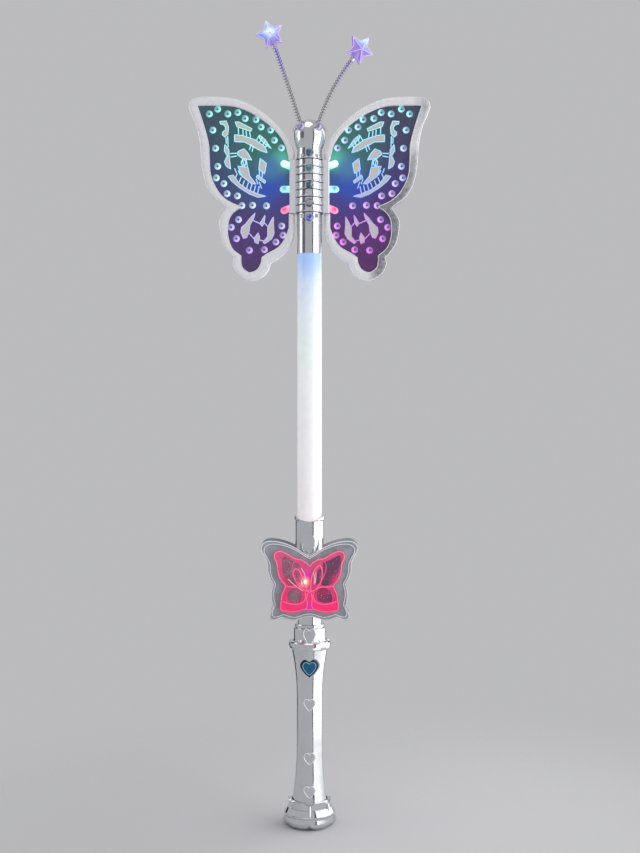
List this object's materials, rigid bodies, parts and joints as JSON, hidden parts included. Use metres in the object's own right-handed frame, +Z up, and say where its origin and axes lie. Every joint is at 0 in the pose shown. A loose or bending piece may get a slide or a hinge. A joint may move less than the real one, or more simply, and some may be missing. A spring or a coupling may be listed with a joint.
{
  "type": "toy magic wand",
  "caption": "Light-up butterfly wand: a hand-held handle with a heart push button and battery door, a glowing tube, clear wings in silver rims and stars on springs.",
  "frame": {"origin": "centre of the flat underside of the wand's base", "axes": "+Z up along the wand, +X to the right as seen from the front, the front with the button faces -Y"},
  "size_m": [0.1694, 0.0358, 0.562],
  "materials": {
    "metallised_silver": "vacuum-metallised silver",
    "heart_blue": "metallic blue gloss",
    "clear_plate": "clear, lightly frosted",
    "pink_lens": "clear pink, lit from behind",
    "frosted_tube": "frosted white",
    "tinted_wing": "clear grey-purple",
    "clear_star": "clear blue-violet",
    "led_clear": "clear epoxy",
    "led_white": "white package",
    "gem_dark_blue": "faceted stone",
    "gem_teal": "faceted stone",
    "gem_grey_teal": "faceted stone",
    "gem_grey": "faceted stone",
    "gem_violet": "faceted stone",
    "eye_violet": "faceted stone",
    "spring_wire": "bright plated wire",
    "contact_steel": "plated",
    "screw_steel": "plated",
    "lead_cover": "plain",
    "board_green": "solder mask",
    "switch_black": "plain",
    "cell_can": "plain printed can"
  },
  "bodies": {
    "wand": {"battery_cell_lower": "cell_can", "battery_cell_upper": "cell_can", "battery_contact": "contact_steel", "battery_spring": "spring_wire", "body_back_shell": "metallised_silver", "body_front_shell": "metallised_silver", "body_gem_1": "gem_violet", "body_gem_2": "gem_grey", "body_gem_3": "gem_grey_teal", "body_gem_4": "gem_teal", "body_gem_5": "gem_dark_blue", "control_board": "board_green", "eye_gems": "eye_violet", "handle_back_shell": "metallised_silver", "handle_collar": "metallised_silver", "handle_front_shell": "metallised_silver", "head_back_shell": "metallised_silver", "head_front_shell": "metallised_silver", "left_lower_led": "led_clear", "left_middle_led": "led_clear", "left_upper_led": "led_clear", "left_wing_front_rim": "metallised_silver", "left_wing_plate": "tinted_wing", "left_wing_rear_rim": "metallised_silver", "light_tube": "frosted_tube", "medallion_front_lens": "pink_lens", "medallion_front_plate": "clear_plate", "medallion_leds": "led_clear", "medallion_rear_lens": "pink_lens", "medallion_rear_plate": "clear_plate", "pommel_cap": "metallised_silver", "power_leads": "lead_cover", "right_lower_led": "led_clear", "right_middle_led": "led_clear", "right_upper_led": "led_clear", "right_wing_front_rim": "metallised_silver", "right_wing_plate": "tinted_wing", "right_wing_rear_rim": "metallised_silver", "stem_back_shell": "metallised_silver", "stem_front_shell": "metallised_silver", "switch_body": "switch_black", "tube_led_strip": "board_green", "tube_leds": "led_white", "tube_socket": "metallised_silver", "wing_led_board": "board_green"},
    "button": {"heart_button": "heart_blue", "switch_plunger": "switch_black"},
    "battery_door": {"battery_door": "metallised_silver"},
    "door_screw": {"battery_door_screw": "screw_steel"},
    "left_antenna": {"left_star_socket": "metallised_silver", "left_antenna_spring": "spring_wire", "left_antenna_lead": "lead_cover"},
    "left_star": {"left_star": "clear_star", "left_star_led": "led_clear"},
    "right_antenna": {"right_star_socket": "metallised_silver", "right_antenna_spring": "spring_wire", "right_antenna_lead": "lead_cover"},
    "right_star": {"right_star": "clear_star", "right_star_led": "led_clear"}
  },
  "joints": [
    {"name": "button_press", "type": "slide", "parent": "wand", "child": "button", "axis": [0, 1, 0], "range_m": [0, 0.0007], "stiffness_N_per_m": 700, "springref_m": -0.001},
    {"name": "battery_door_lift", "type": "slide", "parent": "wand", "child": "battery_door", "axis": [0, 1, 0], "range_m": [0, 0.03]},
    {"name": "door_screw_turn", "type": "hinge", "parent": "battery_door", "child": "door_screw", "pos_m": [0, 0.008, 0.1105], "axis": [0, 1, 0], "continuous": true},
    {"name": "left_antenna_sway", "type": "hinge", "parent": "wand", "child": "left_antenna", "pos_m": [-0.006, 0, 0.4884], "axis": [0, 1, 0], "range_deg": [-15, 15], "stiffness_Nm_per_rad": 0.03, "deforming": ["left_antenna_spring", "left_antenna_lead"]},
    {"name": "left_star_nod", "type": "hinge", "parent": "left_antenna", "child": "left_star", "pos_m": [-0.02545, 0, 0.54663], "axis": [0.9432, 0, 0.3322], "range_deg": [-15, 15], "stiffness_Nm_per_rad": 0.001},
    {"name": "right_antenna_sway", "type": "hinge", "parent": "wand", "child": "right_antenna", "pos_m": [0.006, 0, 0.4884], "axis": [0, 1, 0], "range_deg": [-15, 15], "stiffness_Nm_per_rad": 0.03, "deforming": ["right_antenna_spring", "right_antenna_lead"]},
    {"name": "right_star_nod", "type": "hinge", "parent": "right_antenna", "child": "right_star", "pos_m": [0.03158, 0, 0.53721], "axis": [0.8049, 0, -0.5934], "range_deg": [-15, 15], "stiffness_Nm_per_rad": 0.001}
  ]
}
